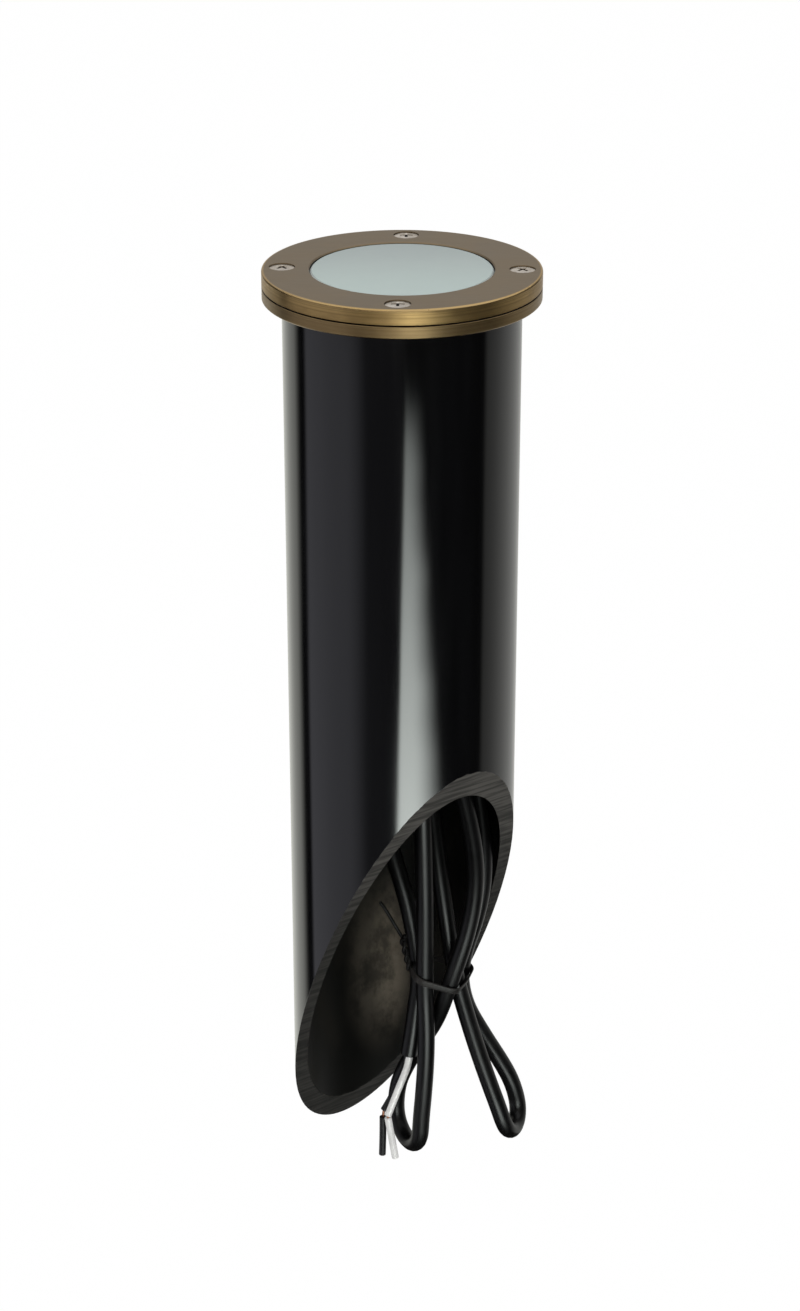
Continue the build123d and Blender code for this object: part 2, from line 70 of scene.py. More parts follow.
# ---------------------------------------------------------------- the lead's route
# In millimetres. As in the part, with some points moved or added to follow the photograph: its line
# is up to 4.3 mm from the middle of the part's tube.
GLAND_MOUTH_Z = -112.0
CABLE_R = 3.5
CORE_R = 1.45
CORE_OFFSET = 1.55
CORE_LEAVE = 4.5
WAIST_Z = -284.0
TOP_FOOT_Z = -183.0
RIGHT_FOOT_Z = -344.6
LEFT_FOOT_Z = -351.5
# x and y of each pass at the tie, and where it meets the half turns above and below
WAISTS = {"lead": (21.6, -8.0), "behind": (23.3, 0.3), "front": (19.0, -16.4),
          "straight": (9.0, -16.6), "tail": (7.4, -8.6)}
TOP_FEET = {"lead": (9.0, 4.5), "behind": (25.0, 7.0), "front": (19.0, -18.5),
            "straight": (7.5, -18.5), "tail": (-13.0, 0.5)}
LOW_FEET = {"lead": (41.6, -21.8), "behind": (47.6, -4.8), "front": (-2.6, 0.6),
            "straight": (7.4, -18.8)}
# how far a pass bows out between waist and foot; a power under 1 brings the bow nearer to the waist
TOP_BOWS = {"lead": (-1.2, 0), "behind": (9.6, 0), "front": (10.8, 0), "straight": (0.6, 0),
            "tail": (0, 0)}
LOW_BOWS = {"lead": (-1.0, 0), "behind": (-2.8, 0), "front": (-0.8, 2.6), "straight": (1.6, -0.6)}
SWELL_POWERS = {"lead": 1, "behind": 0.8, "front": 1, "straight": 1, "tail": 1}
EASED = {"lead": False, "behind": True, "front": True, "straight": True, "tail": True}
RIGHT_LEAN = (2.2, 0.8)
TOP_STEPS = (0.28, 0.52, 0.76)
LOW_STEPS = (0.28, 0.52, 0.76, 0.9)
BIGHT_CORNERS = 4
LEAD_ROUTE = [(0, 0, GLAND_MOUTH_Z), (0, 0, -125), (1.6, 1.2, -137), (4.6, 3.4, -150)]
TAIL_ROUTE = [(5.6, -9.8, -297.5), (4.4, -11.6, -308), (2.8, -12.6, -318.4)]
WHITE_ROUTE = [(1.1, -16.8, -325.4), (-1.8, -18.8, -332.2), (-5.8, -21.0, -342.8)]
BLACK_ROUTE = [(0.6, -12.9, -327.0), (-2.6, -14.6, -334.8), (-7.5, -16.2, -343.3)]
WHITE_SLUG = [(-5.8, -21.1, -343.9), (-4.6, -21.2, -351.5), (-2.8, -21.1, -363.2)]
BLACK_SLUG = [(-7.9, -16.2, -346.6), (-7.9, -16.3, -355.0), (-8.2, -16.2, -364.9)]


def along_pass(name, foot, foot_z, share, bow):
    """Point of a pass, a share of the way from the waist to its foot."""
    eased = share * share * (3 - 2 * share) if EASED[name] else share
    waist = WAISTS[name]
    swell = sin(pi * share ** SWELL_POWERS[name])
    x = mix(waist[0], foot[0], eased) + bow[0] * swell
    y = mix(waist[1], foot[1], eased) + bow[1] * swell
    return (x, y, mix(WAIST_Z, foot_z, share))


def bight(start, end, foot_z, way, lean=(0, 0)):
    """Corners of the half turn that joins two feet.

    The way is 1 at the top and -1 below; the lean moves the middle of the turn.
    """
    middle = Vector((mix(start[0], end[0], 0.5), mix(start[1], end[1], 0.5), foot_z))
    half = Vector((start[0], start[1], foot_z)) - middle
    step = pi / BIGHT_CORNERS
    grow = 1 / cos(step / 2)
    corners = []
    for number in range(BIGHT_CORNERS):
        angle = step * (number + 0.5)
        corner = middle + half * (grow * cos(angle))
        rise = way * half.length * grow * sin(angle)
        x = corner.x + lean[0] * sin(angle)
        y = corner.y + lean[1] * sin(angle)
        corners.append((x, y, corner.z + rise))
    return corners


def half_pass(name, top, outwards):
    """Points of a pass between waist and foot."""
    if top:
        foot, foot_z, bow, steps = TOP_FEET[name], TOP_FOOT_Z, TOP_BOWS[name], TOP_STEPS
    else:
        foot, bow, steps = LOW_FEET[name], LOW_BOWS[name], LOW_STEPS
        foot_z = RIGHT_FOOT_Z if name in ("lead", "behind") else LEFT_FOOT_Z
    steps = steps if outwards else steps[::-1]
    return [along_pass(name, foot, foot_z, share, bow) for share in steps]


def waist_point(name):
    return (*WAISTS[name], WAIST_Z)


def hank_route():
    """The whole lead from the gland to the end of its jacket."""
    route = list(LEAD_ROUTE)
    route += half_pass("lead", True, False) + [waist_point("lead")]
    route += half_pass("lead", False, True)
    route += bight(LOW_FEET["lead"], LOW_FEET["behind"], RIGHT_FOOT_Z, -1, RIGHT_LEAN)
    route += half_pass("behind", False, False) + [waist_point("behind")]
    route += half_pass("behind", True, True)
    route += bight(TOP_FEET["behind"], TOP_FEET["front"], TOP_FOOT_Z, 1)
    route += half_pass("front", True, False) + [waist_point("front")]
    route += half_pass("front", False, True)
    route += bight(LOW_FEET["front"], LOW_FEET["straight"], LEFT_FOOT_Z, -1)
    route += half_pass("straight", False, False) + [waist_point("straight")]
    route += half_pass("straight", True, True)
    route += bight(TOP_FEET["straight"], TOP_FEET["tail"], TOP_FOOT_Z, 1)
    route += half_pass("tail", True, False) + [waist_point("tail")]
    return route + TAIL_ROUTE


# ---------------------------------------------------------------- material helpers
SPOT_CORE = 0.15
BROAD_SCALE = 0.12


def link(tree, value, socket):
    if isinstance(value, bpy.types.NodeSocket):
        tree.links.new(value, socket)
    else:
        socket.default_value = value


def add(tree, kind, settings=None, **inputs):
    """A node with its settings and inputs; an underscore in an input's name stands for a space."""
    made = tree.nodes.new("ShaderNode" + kind)
    for key, value in (settings or {}).items():
        setattr(made, key, value)
    for key, value in inputs.items():
        link(tree, value, made.inputs[key.replace("_", " ")])
    return made


def maths(tree, operation, first, second=0.0, third=0.0, clamp=False):
    made = add(tree, "Math", {"operation": operation, "use_clamp": clamp})
    for socket, value in zip(made.inputs, (first, second, third)):
        link(tree, value, socket)
    return made.outputs[0]


def times(tree, first, second):
    return maths(tree, "MULTIPLY", first, second)


def plus(tree, first, second, clamp=False):
    return maths(tree, "ADD", first, second, clamp=clamp)


def less(tree, first, second):
    return maths(tree, "SUBTRACT", first, second)


def ramp(tree, value, low, high, to_low=0.0, to_high=1.0, smooth=True):
    """A value mapped from one range to another, clamped."""
    kind = "SMOOTHSTEP" if smooth else "LINEAR"
    made = add(tree, "MapRange", {"interpolation_type": kind}, Value=value, From_Min=low,
               From_Max=high, To_Min=to_low, To_Max=to_high)
    return made.outputs["Result"]


def blend_colours(tree, share, first, second):
    made = add(tree, "Mix", {"data_type": "RGBA"})
    link(tree, share, made.inputs[0])
    for socket, value in ((made.inputs[6], first), (made.inputs[7], second)):
        link(tree, value if isinstance(value, bpy.types.NodeSocket) else (*value, 1), socket)
    return made.outputs[2]


def place(tree):
    return add(tree, "TexCoord").outputs["Object"]


def split(tree, at):
    """x, y and z of a place."""
    return add(tree, "SeparateXYZ", None, Vector=at).outputs


def noise(tree, at, scale, detail, rough):
    made = add(tree, "TexNoise", None, Vector=at, Scale=scale, Detail=detail, Roughness=rough)
    return made.outputs["Fac"]


def grain(tree, at, scale, stretch=(1, 1, 1), detail=4.0, rough=0.55):
    """Noise that is stretched along the axes whose factor is under 1."""
    moved = add(tree, "Mapping", None, Vector=at, Scale=stretch)
    return noise(tree, moved.outputs[0], scale, detail, rough)


def spot(tree, at, centre, reach):
    """1 in the middle of an oval spot, falling to 0 at its reach on each axis, in millimetres."""
    moved = add(tree, "VectorMath", {"operation": "SUBTRACT"})
    scaled = add(tree, "VectorMath", {"operation": "DIVIDE"})
    apart = add(tree, "VectorMath", {"operation": "LENGTH"})
    link(tree, at, moved.inputs[0])
    moved.inputs[1].default_value = [value * MM for value in centre]
    link(tree, moved.outputs[0], scaled.inputs[0])
    scaled.inputs[1].default_value = [value * MM for value in reach]
    link(tree, scaled.outputs[0], apart.inputs[0])
    return ramp(tree, apart.outputs["Value"], SPOT_CORE, 1.0, 1.0, 0.0)


def polar(tree, at):
    """Radius and height."""
    x, y, z = split(tree, at)
    return maths(tree, "SQRT", plus(tree, times(tree, x, x), times(tree, y, y))), z


def bump(tree, height, strength, distance):
    made = add(tree, "Bump", None, Height=height, Strength=strength, Distance=distance)
    return made.outputs[0]


def material(name):
    made = bpy.data.materials.new(name)
    made.use_nodes = True
    tree = made.node_tree
    return made, tree, tree.nodes["Principled BSDF"]


def plain(name, dark, light, rough, scale=900.0, relief=0.25, depth=0.00005, stretch=(1, 1, 1),
          metal=0.0, **sockets):
    """A surface with mottled colour, uneven roughness and fine relief."""
    made, tree, shader = material(name)
    at = place(tree)
    broad = grain(tree, at, scale * BROAD_SCALE, stretch)
    fine = grain(tree, at, scale, stretch)
    share = plus(tree, times(tree, broad, 0.6), times(tree, fine, 0.4))
    colour = blend_colours(tree, ramp(tree, share, 0.35, 0.65), dark, light)
    link(tree, colour, shader.inputs["Base Color"])
    link(tree, ramp(tree, broad, 0.3, 0.7, *rough), shader.inputs["Roughness"])
    link(tree, bump(tree, fine, relief, depth), shader.inputs["Normal"])
    shader.inputs["Metallic"].default_value = metal
    for key, value in sockets.items():
        shader.inputs[key.replace("_", " ")].default_value = value
    return made


# ---------------------------------------------------------------- the sleeve's material
# the plane of the sawn end
CUT_MID_Z = -278.66 * MM
CUT_SLOPE = 2.241
CUT_AZIMUTH = radians(-54.4)
CUT_EDGE = 0.6 * MM
CUT_RAGGED = 1.6 * MM
# painted shade: the sawn end and its saw marks are darker lower down, where the face lies in shade,
# and paler higher up
CUT_SHADE_Z = (-0.262, -0.190)
CUT_SHADE_LEVELS = (0.42, 1.25)
BORE_EDGE_R = (0.0393, 0.0396)
OUTER_COLOURS = ((0.0010, 0.0010, 0.0012), (0.0026, 0.0027, 0.0031))
INNER_COLOURS = ((0.0006, 0.0006, 0.0005), (0.010, 0.0088, 0.0066))
CUT_COLOURS = ((0.004, 0.004, 0.0038), (0.075, 0.071, 0.064))
# painted shade: the specular tint dims reflections inside the bore; the sawn end's reflections are
# dimmed by their own tint
INNER_SHADE_TINT = (0.16, 0.16, 0.15)
CUT_TINT = (0.35, 0.35, 0.34)
# centre, reach and greatest share of each painted patch of light on the inner wall
PAINTED_LIGHT_SPOTS = [((-5, 38.9, -300), (11, 12, 44), 0.62), ((-9, 37, -306), (19, 16, 50), 0.30)]
PAINTED_LIGHT_COLOUR = (0.21, 0.18, 0.135)
PAINTED_LIGHT_LEAST = 0.25


def cut_places(tree, at):
    """Places along the fall of the cut, across it, and above its plane."""
    x, y, z = split(tree, at)
    along = plus(tree, times(tree, x, cos(CUT_AZIMUTH)), times(tree, y, sin(CUT_AZIMUTH)))
    across = plus(tree, times(tree, x, -sin(CUT_AZIMUTH)), times(tree, y, cos(CUT_AZIMUTH)))
    above = less(tree, less(tree, z, CUT_MID_Z), times(tree, along, CUT_SLOPE))
    return along, across, above


def sleeve_material():
    """Glossy outside; satin inside with mottled patches, painted patches of light and reflections
    dimmed as painted shade; and a matte sawn end with saw marks, painted darker lower down as
    painted shade.
    """
    made, tree, shader = material("sleeve_plastic")
    at = place(tree)
    radius, z = polar(tree, at)
    along, across, above = cut_places(tree, at)
    ragged = times(tree, grain(tree, at, 260.0, detail=5.0), CUT_RAGGED)
    sawn = ramp(tree, less(tree, above, ragged), -CUT_EDGE, 0.0, 1.0, 0.0)
    inside = ramp(tree, radius, *BORE_EDGE_R, 1.0, 0.0)

    streaks = grain(tree, at, 60.0, (1, 1, 0.06))
    specks = grain(tree, at, 1400.0, detail=2.0)
    outer = blend_colours(tree, ramp(tree, streaks, 0.35, 0.7), *OUTER_COLOURS)
    patches = grain(tree, at, 34.0, (1, 1, 0.45), detail=6.0)
    inner = blend_colours(tree, ramp(tree, patches, 0.42, 0.72), *INNER_COLOURS)
    # painted patches of light on the inner wall, made uneven by this noise
    patch_unevenness = grain(tree, at, 90.0, (1, 1, 0.6), detail=7.0, rough=0.65)
    for centre, reach, most in PAINTED_LIGHT_SPOTS:
        uneven = ramp(tree, patch_unevenness, 0.34, 0.62, PAINTED_LIGHT_LEAST * most, most)
        share = times(tree, spot(tree, at, centre, reach), uneven)
        inner = blend_colours(tree, share, inner, PAINTED_LIGHT_COLOUR)

    strokes = add(tree, "CombineXYZ", None, X=across, Y=z, Z=times(tree, along, 0.3))
    kerf = grain(tree, strokes.outputs[0], 700.0, (0.06, 1, 1), detail=3.0)
    # saw marks, with painted shade making the sawn end darker lower down
    worn = times(tree, ramp(tree, kerf, 0.35, 0.68, 0.3, 1.0),
                 ramp(tree, z, *CUT_SHADE_Z, *CUT_SHADE_LEVELS))
    cut = blend_colours(tree, worn, *CUT_COLOURS)
    colour = blend_colours(tree, inside, outer, inner)
    link(tree, blend_colours(tree, sawn, colour, cut), shader.inputs["Base Color"])

    gloss = ramp(tree, streaks, 0.3, 0.75, 0.07, 0.16)
    satin = times(tree, inside, ramp(tree, patches, 0.4, 0.7, 0.45, 0.62))
    rough = plus(tree, plus(tree, gloss, satin), times(tree, sawn, 0.7), clamp=True)
    link(tree, rough, shader.inputs["Roughness"])
    height = plus(tree, times(tree, streaks, 0.6), times(tree, specks, 0.02))
    height = plus(tree, height, times(tree, kerf, sawn))
    link(tree, bump(tree, height, 0.25, 0.0002), shader.inputs["Normal"])
    # painted shade: reflections inside the bore are tinted dark
    dull = blend_colours(tree, inside, (1, 1, 1), INNER_SHADE_TINT)
    link(tree, blend_colours(tree, sawn, dull, CUT_TINT), shader.inputs["Specular Tint"])
    shader.inputs["IOR"].default_value = 1.5
    return made


# ---------------------------------------------------------------- the lead's material
# painted shade: the passes lie deep in the pipe, in its shade, to the right of, behind and above
# these places, and their reflections are tinted dark there
DEEP_X = (0.0125, 0.016)
DEEP_Y = (-0.013, -0.008)
DEEP_Z = (-0.268, -0.222)
DEEP_SHADE_TINT = (0.10, 0.10, 0.10)


def jacket_material():
    """Satin black jacket, duller with painted shade where the passes lie deep in the pipe: its
    reflections are tinted dark there.
    """
    made = plain("cable_jacket", (0.0014, 0.0014, 0.0015), (0.0038, 0.0037, 0.0039), (0.32, 0.43),
                 scale=260.0, relief=0.02, depth=0.00002, Specular_IOR_Level=0.26)
    tree = made.node_tree
    x, y, z = split(tree, place(tree))
    # painted shade on the passes inside the pipe
    deep = maths(tree, "MAXIMUM", ramp(tree, x, *DEEP_X), ramp(tree, y, *DEEP_Y))
    deep = times(tree, deep, ramp(tree, z, *DEEP_Z))
    link(tree, blend_colours(tree, deep, (1, 1, 1), DEEP_SHADE_TINT),
         tree.nodes["Principled BSDF"].inputs["Specular Tint"])
    return made


# ---------------------------------------------------------------- the head's materials
SIDE_R = 51.3 * MM
FACE_Z = 10.7 * MM
SEAM_Z = 4.8 * MM
SEAM_REACH = (0.22 * MM, 0.42 * MM)
SEAM_R = (50.5 * MM, 50.8 * MM)
SEAM_COLOUR = (0.006, 0.004, 0.003)
# painted shade: a dark line on the bore wall round the lens
LENS_BORE_R = 34.4 * MM
LENS_BORE_LINE = 0.12 * MM
LENS_BORE_Z = (10.1 * MM, 10.45 * MM)
SCREW_PITCH_R = 44.2 * MM
SCREW_TURN = radians(2)
SCREW_RIM = 4.7 * MM
# painted shade on the walls of the gaps round the screws
SCREW_LINE = (0.18 * MM, 0.4 * MM)
SCREW_LINE_Z = (8.0 * MM, 8.4 * MM)
# colour of the painted shade round the screws and the lens
OUTLINE_SHADE_COLOUR = (0.012, 0.010, 0.008)
# painted shade in the screws' recesses
RECESS_REACH = 3.0 * MM
RECESS_Z = (10.2 * MM, 10.5 * MM)
RECESS_SHADE_COLOUR = (0.030, 0.027, 0.025)
HEAD_COLOURS = ((0.56, 0.51, 0.45), (0.74, 0.69, 0.62))
# painted highlight: a paler rim round the edge of the lens
LENS_RIM_R = (33.2 * MM, 33.6 * MM)
LENS_RIM_HIGHLIGHT = (0.62, 0.66, 0.65)
# painted shade: the front colour, then the greyer colour towards the back edge
LENS_COLOURS = ((0.465, 0.56, 0.535), (0.345, 0.395, 0.392))
LENS_Y = (-0.030, 0.034)


def from_screw(tree, at):
    """Distance from the nearest cover screw's axis."""
    turn = add(tree, "Mapping", None, Vector=at, Rotation=(0, 0, SCREW_TURN))
    x, y, _ = split(tree, turn.outputs[0])
    across = [maths(tree, "ABSOLUTE", value) for value in (x, y)]
    out_by = less(tree, maths(tree, "MAXIMUM", *across), SCREW_PITCH_R)
    off_by = maths(tree, "MINIMUM", *across)
    squares = maths(tree, "MULTIPLY_ADD", out_by, out_by, times(tree, off_by, off_by))
    return maths(tree, "SQRT", squares)


def brass_lines(tree, at, radius, z):
    """Dark lines: the seam between the rings, then the outlines of the screws and the lens, painted
    shade on the walls of the gaps round them.
    """
    from_seam = maths(tree, "ABSOLUTE", less(tree, z, SEAM_Z))
    seam = times(tree, ramp(tree, from_seam, *SEAM_REACH, 1.0, 0.0), ramp(tree, radius, *SEAM_R))
    # painted shade on the walls of the gaps round the screws
    screws = ramp(tree, from_screw(tree, at), *(SCREW_RIM + line for line in SCREW_LINE), 1.0, 0.0)
    screws = times(tree, screws, ramp(tree, z, *SCREW_LINE_Z))
    below_face = ramp(tree, z, FACE_Z - 0.40 * MM, FACE_Z - 0.22 * MM, 1.0, 0.0)
    # painted shade: a dark line on the bore wall round the lens
    bore = ramp(tree, radius, LENS_BORE_R, LENS_BORE_R + LENS_BORE_LINE, 1.0, 0.0)
    bore = times(tree, bore, ramp(tree, z, *LENS_BORE_Z, 1.0, 0.0))
    return seam, maths(tree, "MAXIMUM", times(tree, screws, below_face), bore)


def brass_material(name, face, side, side_dark, worn):
    """Turned brass: a darkened satin face, a brighter lathe-lined side, and worn arrises."""
    made, tree, shader = material(name)
    at = place(tree)
    radius, z = polar(tree, at)
    turned = add(tree, "CombineXYZ", None, X=radius, Y=0.0, Z=z).outputs[0]
    lines = noise(tree, turned, 2600.0, 5.0, 0.7)
    coarse = noise(tree, turned, 700.0, 3.0, 0.6)
    cloud = grain(tree, at, 45.0, detail=6.0)
    brush = grain(tree, at, 700.0, (0.12, 1, 1), detail=4.0)
    patina = grain(tree, at, 55.0, (1, 1, 2.5), detail=5.0)
    on_side = ramp(tree, radius, SIDE_R - 0.4 * MM, SIDE_R + 0.2 * MM)
    edge = times(tree, ramp(tree, radius, SIDE_R - 0.7 * MM, SIDE_R),
                 ramp(tree, z, FACE_Z - 1.6 * MM, FACE_Z - 0.3 * MM))

    mottle = plus(tree, times(tree, brush, 0.25), times(tree, cloud, 0.75))
    face_colour = blend_colours(tree, ramp(tree, mottle, 0.36, 0.64),
                                tuple(part * 0.9 for part in face),
                                tuple(part * 1.1 for part in face))
    lined = plus(tree, times(tree, lines, 0.5), times(tree, coarse, 0.5))
    lit = times(tree, ramp(tree, lined, 0.38, 0.60), ramp(tree, patina, 0.34, 0.60, 0.35, 1.0))
    side_colour = blend_colours(tree, lit, side_dark, side)
    colour = blend_colours(tree, on_side, face_colour, side_colour)
    wear = times(tree, edge, ramp(tree, cloud, 0.3, 0.55, 0.45, 1.0))
    colour = blend_colours(tree, wear, colour, worn)
    seam, outline = brass_lines(tree, at, radius, z)
    colour = blend_colours(tree, seam, colour, SEAM_COLOUR)
    # painted shade round the screws and the lens
    colour = blend_colours(tree, outline, colour, OUTLINE_SHADE_COLOUR)
    link(tree, colour, shader.inputs["Base Color"])

    rough = less(tree, ramp(tree, cloud, 0.3, 0.7, 0.30, 0.40), times(tree, wear, 0.08))
    link(tree, rough, shader.inputs["Roughness"])
    relief = plus(tree, times(tree, lined, on_side), times(tree, brush, 0.15))
    link(tree, bump(tree, relief, 0.35, 0.00012), shader.inputs["Normal"])
    shader.inputs["Metallic"].default_value = 1.0
    return made


def lens_material():
    """Frosted glass: pale, soft, a little greyer towards its back edge as painted shade, with a
    paler rim as a painted highlight.
    """
    made, tree, shader = material("frosted_glass")
    at = place(tree)
    # painted shade: the lens greys towards its back edge
    back_shade = ramp(tree, split(tree, at)[1], *LENS_Y)
    cloud = grain(tree, at, 26.0, detail=5.0)
    frost = grain(tree, at, 2600.0, detail=3.0)
    share = plus(tree, times(tree, back_shade, 0.8), times(tree, cloud, 0.2))
    # painted highlight: a paler rim at the lens edge
    rim = ramp(tree, polar(tree, at)[0], *LENS_RIM_R)
    body = blend_colours(tree, share, *LENS_COLOURS)
    link(tree, blend_colours(tree, rim, body, LENS_RIM_HIGHLIGHT), shader.inputs["Base Color"])
    link(tree, ramp(tree, cloud, 0.3, 0.7, 0.40, 0.50), shader.inputs["Roughness"])
    link(tree, bump(tree, frost, 0.12, 0.00006), shader.inputs["Normal"])
    shader.inputs["Transmission Weight"].default_value = 0.12
    shader.inputs["IOR"].default_value = 1.5
    return made


def screw_material():
    """Stainless heads, dark with painted shade in the recess, and brushed outside."""
    made, tree, shader = material("stainless_heads")
    at = place(tree)
    z = split(tree, at)[2]
    inner = ramp(tree, from_screw(tree, at), RECESS_REACH - 0.2 * MM, RECESS_REACH, 1.0, 0.0)
    cloud = grain(tree, at, 320.0, detail=5.0)
    fine = grain(tree, at, 2200.0, (1, 0.15, 1), detail=4.0)
    # painted shade in the recess
    deep = times(tree, inner, ramp(tree, z, *RECESS_Z, 1.0, 0.0))
    top = blend_colours(tree, ramp(tree, cloud, 0.35, 0.65), *HEAD_COLOURS)
    link(tree, blend_colours(tree, deep, top, RECESS_SHADE_COLOUR), shader.inputs["Base Color"])
    link(tree, ramp(tree, cloud, 0.3, 0.7, 0.26, 0.40), shader.inputs["Roughness"])
    link(tree, bump(tree, fine, 0.3, 0.00006), shader.inputs["Normal"])
    shader.inputs["Metallic"].default_value = 1.0
    return made


# ---------------------------------------------------------------- finishes of the part's pieces
sleeve_plastic = sleeve_material()
cover_brass = brass_material("brass_cover", (0.215, 0.165, 0.105), (0.56, 0.385, 0.165),
                             (0.34, 0.225, 0.095), (0.50, 0.35, 0.16))
flange_brass = brass_material("brass_cast", (0.20, 0.155, 0.10), (0.42, 0.30, 0.15),
                              (0.26, 0.18, 0.088), (0.46, 0.34, 0.18))
frosted = lens_material()
screw_steel = screw_material()
steel = plain("stainless", (0.50, 0.49, 0.47), (0.68, 0.67, 0.65), (0.22, 0.38), metal=1.0,
              stretch=(1, 1, 0.2))
plated = plain("steel_plated", (0.42, 0.43, 0.42), (0.62, 0.62, 0.58), (0.30, 0.48), metal=1.0)
rubber = plain("seal_rubber", (0.010, 0.010, 0.010), (0.028, 0.028, 0.028), (0.55, 0.75),
               relief=0.4)
pressed = plain("lamp_glass", (0.55, 0.57, 0.60), (0.75, 0.77, 0.80), (0.08, 0.2), metal=1.0)
clear = plain("clear_glass", (0.86, 0.90, 0.90), (0.95, 0.97, 0.97), (0.03, 0.12), relief=0.1,
              Transmission_Weight=0.9)
ceramic = plain("ceramic", (0.70, 0.67, 0.60), (0.84, 0.81, 0.75), (0.55, 0.75), relief=0.4)
nylon = plain("gland_nylon", (0.016, 0.016, 0.017), (0.040, 0.040, 0.041), (0.38, 0.55),
              relief=0.35)
jacket = jacket_material()
white_pvc = plain("core_white", (0.70, 0.70, 0.68), (0.84, 0.84, 0.82), (0.28, 0.42), relief=0.15,
                  Subsurface_Weight=0.1, Subsurface_Radius=(0.001, 0.001, 0.001))
black_pvc = plain("core_black", (0.008, 0.008, 0.009), (0.020, 0.020, 0.021), (0.25, 0.40),
                  relief=0.2, Specular_IOR_Level=0.25)
copper = plain("copper", (0.24, 0.09, 0.05), (0.44, 0.20, 0.12), (0.34, 0.48), metal=1.0,
               scale=2500.0)
twist_plastic = plain("twist_plastic", (0.003, 0.003, 0.003), (0.009, 0.0085, 0.008),
                      (0.45, 0.60), relief=0.3, Specular_IOR_Level=0.12)
tie_plastic = plain("tie_plastic", (0.010, 0.0095, 0.009), (0.026, 0.024, 0.022), (0.40, 0.55),
                    relief=0.3, Specular_IOR_Level=0.2)

FINISHES = {
    "sleeve": sleeve_plastic, "canister": flange_brass, "cover_ring": cover_brass,
    "cover_screws": screw_steel, "lens": frosted, "lens_gasket_lower": rubber,
    "lens_gasket_upper": rubber, "swivel_ring": plated, "swivel_snap_ring": steel,
    "pivot_screws": steel, "tilt_ring": plated, "lamp_snap_ring": steel,
    "lamp_reflector": pressed, "lamp_front_glass": clear, "lamp_emitter": clear,
    "lamp_base": ceramic, "lamp_pins": steel, "lamp_socket": ceramic, "socket_leads": white_pvc,
    "gland_body": nylon, "gland_washer": rubber, "gland_seal": rubber, "gland_nut": nylon,
    "gland_locknut": nylon, "inner_jacket": jacket, "inner_cores": white_pvc,
}
for name, finish in FINISHES.items():
    slots = nodes[name].material_slots
    if not slots:
        nodes[name].data.materials.append(finish)
    for material_slot in slots:
        material_slot.material = finish

# ---------------------------------------------------------------- the lead and its cores
BEVEL_STEPS = 7
STRAND_R = 0.16
STRAND_RING = 0.36
STRAND_PLACES = [(0, 0)] + [(STRAND_RING * cos(radians(60 * turn)),
                             STRAND_RING * sin(radians(60 * turn))) for turn in range(6)]
STRAND_SPREAD = 1.25
STRAND_STEPS = 6


def metres(points):
    return [tuple(value * MM for value in point) for point in points]


def add_spline(data, route):
    """A quadratic NURBS spline with the route as its control points."""
    spline = data.splines.new("NURBS")
    spline.points.add(len(route) - 1)
    for point, position in zip(spline.points, route):
        point.co = (*position, 1)
    spline.order_u = 3
    spline.use_endpoint_u = True


def smooth_curve(name, route, radius, finish, resolution=12):
    """A round cable along a route."""
    data = bpy.data.curves.new(name, "CURVE")
    data.dimensions = "3D"
    add_spline(data, route)
    data.resolution_u = resolution
    data.bevel_depth = radius
    data.bevel_resolution = BEVEL_STEPS
    data.use_fill_caps = True
    data.materials.append(finish)
    return put(name, data)


def bare_wire(name, start, end):
    """A bundle of fine strands between a core's end and its cap, a little splayed half way."""
    middle = (Vector(start) + Vector(end)) / 2
    routes = []
    for strand_place in STRAND_PLACES:
        out = Vector((*strand_place, 0))
        points = [Vector(start) + out, middle + out * STRAND_SPREAD, Vector(end) + out]
        routes.append(metres(points))
    bundle = smooth_curve(name, routes[0], STRAND_R * MM, copper, STRAND_STEPS)
    for route in routes[1:]:
        add_spline(bundle.data, route)
    return bundle


lead_route = metres(hank_route())
lead = smooth_curve("lead", lead_route, CABLE_R * MM, jacket)
jacket_end = Vector(TAIL_ROUTE[-1])
heading = (jacket_end - Vector(TAIL_ROUTE[-2])).normalized()
side = heading.cross(Vector((1, 0.2, 0))).normalized() * CORE_OFFSET
cores = {}
for name, offset, onward, finish in (("white", side, WHITE_ROUTE, white_pvc),
                                     ("black", -side, BLACK_ROUTE, black_pvc)):
    start = jacket_end + offset
    route = [tuple(start), tuple(start + heading * CORE_LEAVE)] + onward
    cores[name] = smooth_curve("wire_" + name, metres(route), CORE_R * MM, finish)
slugs = {"white": smooth_curve("cap_white", metres(WHITE_SLUG), CORE_R * MM, white_pvc),
         "black": smooth_curve("cap_black", metres(BLACK_SLUG), CORE_R * MM, black_pvc)}
strands = [bare_wire("strands_white", WHITE_ROUTE[-1], WHITE_SLUG[0]),
           bare_wire("strands_black", BLACK_ROUTE[-1], BLACK_SLUG[0])]

# ---------------------------------------------------------------- the tie
# in millimetres; it lies in a plane that falls to the right and dips to the front
TIE_CENTRE = (17.0, -9.0, -282.7)
TIE_FALL = 0.40
TIE_DIP = 0.06
TIE_WIDTH = 2.8
TIE_THICK = 0.9
TIE_SQUARENESS = 0.45
TIE_REACH = 3.8
TIE_REACH_STEPS = 48
TIE_STEPS = 144
TIE_SIDES = 12
TIE_SMOOTHING = 3
LINE_STEPS = 40
TWIST_ROOT = (3.0, -14.2, -277.4)
TWIST_TIP = (0.0, -13.6, -263.7)
TWIST_TURN = 620
TWIST_STEPS = 16
TWIST_R = 0.75
WIRE_R = 0.7
TIE_ENDS = ([(-3.6, -13.4, -256.2), (-7.4, -12.3, -249.6), (-8.9, -12.0, -247.9)],
            [(1.7, -15.6, -262.4), (0.9, -16.2, -260.6)])


